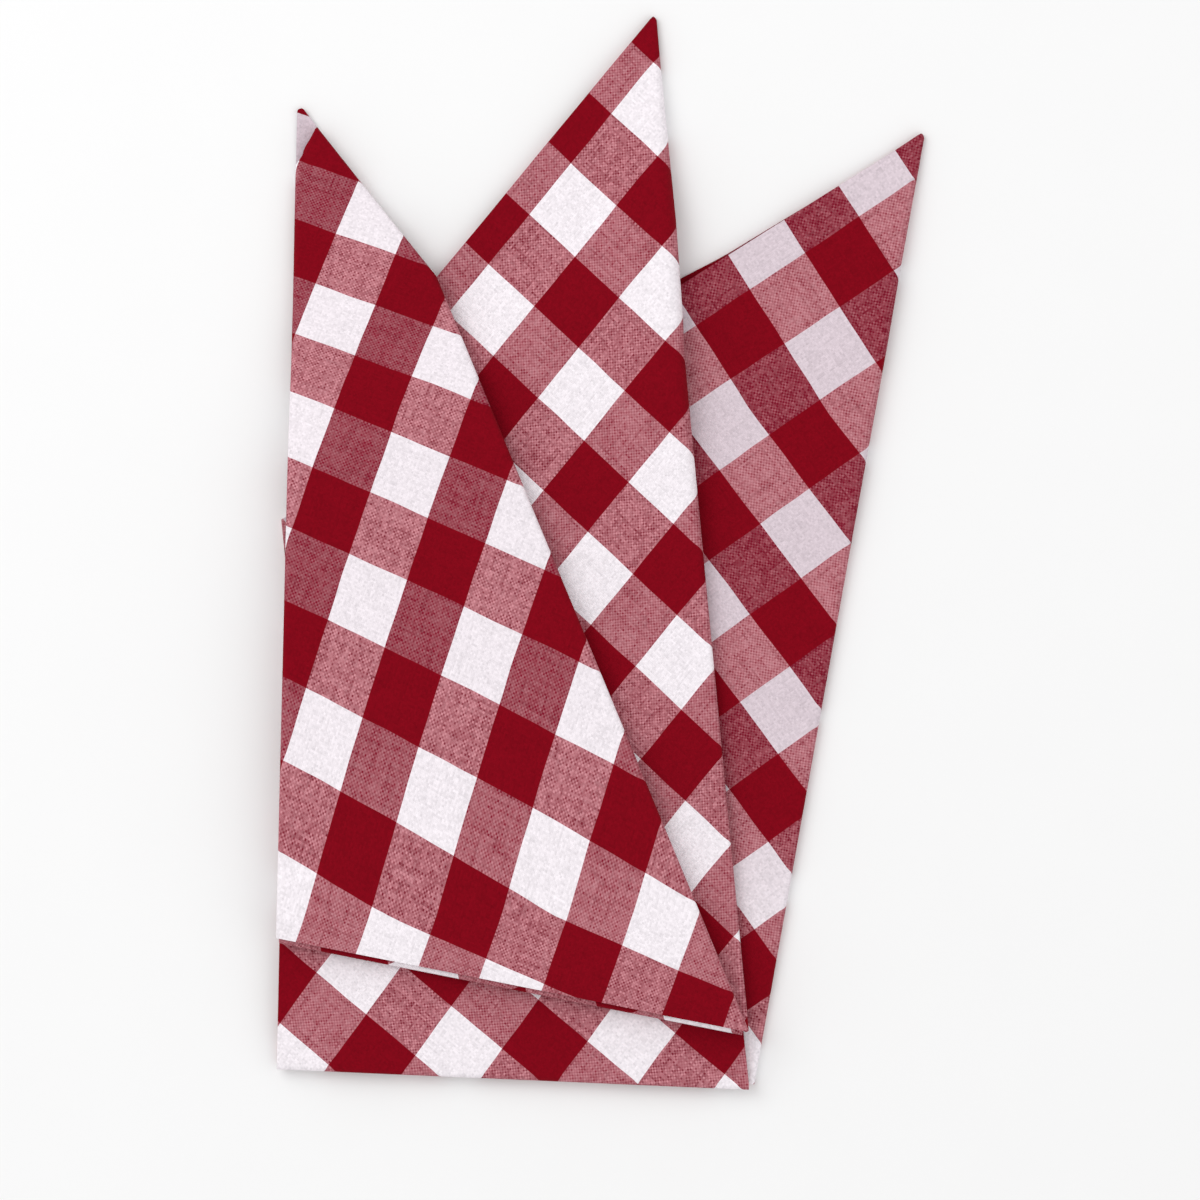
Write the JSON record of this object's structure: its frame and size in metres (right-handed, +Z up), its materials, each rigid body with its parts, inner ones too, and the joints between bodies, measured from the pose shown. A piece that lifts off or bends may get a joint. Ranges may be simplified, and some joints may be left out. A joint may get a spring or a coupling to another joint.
{
  "type": "folded pocket handkerchief",
  "caption": "Square gingham cotton handkerchief folded flat, back and forth, into a pocket square with soft points above a narrow body.",
  "frame": {"origin": "middle of the bounding box in plan, on the surface that the folded cloth lies on", "axes": "+Y towards the points, +X to the right seen from the front of the fold, +Z up out of the cloth towards the viewer"},
  "size_m": [0.1012, 0.1646, 0.0088],
  "materials": {
    "gingham_cotton": "matt plain weave, yarn-dyed in red and white checks"
  },
  "bodies": {
    "root": {"handkerchief": "gingham_cotton"}
  },
  "joints": []
}
